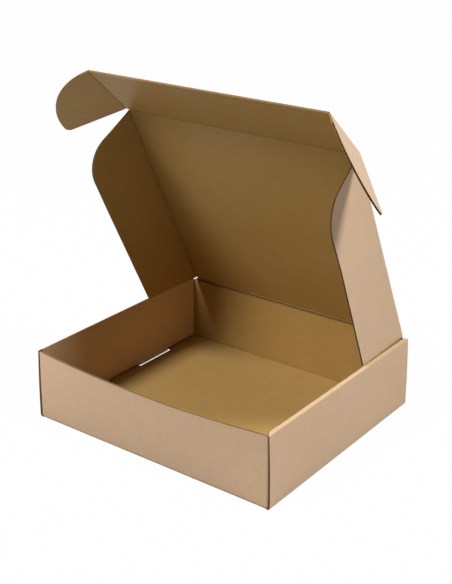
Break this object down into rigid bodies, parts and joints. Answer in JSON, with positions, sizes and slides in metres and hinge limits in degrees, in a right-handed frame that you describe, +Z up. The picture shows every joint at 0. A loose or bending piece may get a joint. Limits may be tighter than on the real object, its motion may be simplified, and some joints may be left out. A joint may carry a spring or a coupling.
{
  "type": "corrugated mailer box",
  "caption": "Open corrugated mailer tray with roll-over side walls, a hinged lid, folding lid side flaps and a tuck flap with ears.",
  "frame": {"origin": "centre of the tray's underside", "axes": "+Z up from the surface the tray stands on, +Y from the front wall to the hinged back wall, +X to the right"},
  "size_m": [0.3311, 0.227, 0.2993],
  "materials": {
    "kraft_outer": "matt brown kraft liner, the outside of the board",
    "kraft_inner": "matt brown kraft liner, the inside of the board"
  },
  "bodies": {
    "tray": {"tray": "kraft_outer"},
    "lid_panel": {"lid_panel": "kraft_inner"},
    "lid_side_flap_left": {"lid_side_flap_left": "kraft_inner"},
    "lid_side_flap_right": {"lid_side_flap_right": "kraft_inner"},
    "tuck_flap": {"tuck_flap": "kraft_inner"},
    "tuck_ear_left": {"tuck_ear_left": "kraft_inner"},
    "tuck_ear_right": {"tuck_ear_right": "kraft_inner"}
  },
  "joints": [
    {"name": "lid_hinge", "type": "hinge", "parent": "tray", "child": "lid_panel", "pos_m": [0, 0.10825, 0.0665], "axis": [-1, 0, 0], "range_deg": [-60.3, 116.7]},
    {"name": "lid_side_flap_left_fold", "type": "hinge", "parent": "lid_panel", "child": "lid_side_flap_left", "pos_m": [-0.1166, 0.05973, 0.16131], "axis": [0, 0.4493, -0.8934], "range_deg": [-86, 38]},
    {"name": "lid_side_flap_right_fold", "type": "hinge", "parent": "lid_panel", "child": "lid_side_flap_right", "pos_m": [0.1166, 0.05973, 0.16131], "axis": [0, -0.4493, 0.8934], "range_deg": [-86, 38]},
    {"name": "tuck_flap_fold", "type": "hinge", "parent": "lid_panel", "child": "tuck_flap", "pos_m": [0, 0.01188, 0.25645], "axis": [-1, 0, 0], "range_deg": [-70.6, 22.4]},
    {"name": "tuck_ear_left_fold", "type": "hinge", "parent": "tuck_flap", "child": "tuck_ear_left", "pos_m": [-0.1183, 0.01188, 0.25645], "axis": [0, 0.7559, -0.6547], "range_deg": [-58, 32]},
    {"name": "tuck_ear_right_fold", "type": "hinge", "parent": "tuck_flap", "child": "tuck_ear_right", "pos_m": [0.1183, 0.01188, 0.25645], "axis": [0, -0.7559, 0.6547], "range_deg": [-41, 49]}
  ]
}
